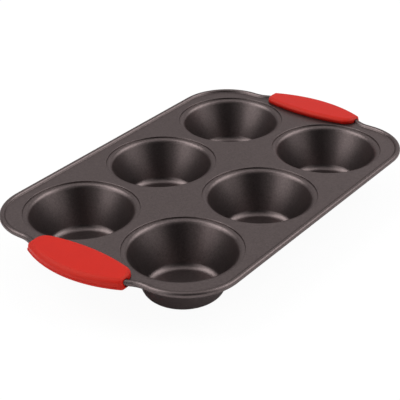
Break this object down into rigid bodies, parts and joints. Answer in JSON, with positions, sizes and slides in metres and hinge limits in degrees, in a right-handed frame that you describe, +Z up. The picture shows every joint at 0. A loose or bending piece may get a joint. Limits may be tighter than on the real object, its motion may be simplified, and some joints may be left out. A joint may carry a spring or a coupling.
{
  "type": "muffin pan",
  "caption": "Muffin pan of dark coated sheet steel with deep tapered cups, a rolled rim and a pull-off red silicone grip on each end handle.",
  "frame": {"origin": "under the pan's centre, on the surface that the six cups stand on", "axes": "+X along the pan from the left handle to the right handle, +Y across it, +Z up out of the cups"},
  "size_m": [0.3696, 0.228, 0.0437],
  "materials": {
    "coated_steel": "satin dark grey non-stick coating with a very fine grain",
    "drawn_steel": "drawn wire, hidden in the rolled rim",
    "red_silicone": "matt moulded silicone"
  },
  "bodies": {
    "pan": {"pan_shell": "coated_steel", "rim_wire": "drawn_steel"},
    "left_grip": {"left_grip": "red_silicone"},
    "right_grip": {"right_grip": "red_silicone"}
  },
  "joints": [
    {"name": "left_grip_pull", "type": "slide", "parent": "pan", "child": "left_grip", "axis": [-1, 0, 0], "range_m": [0, 0.05]},
    {"name": "right_grip_pull", "type": "slide", "parent": "pan", "child": "right_grip", "axis": [1, 0, 0], "range_m": [0, 0.05]}
  ]
}
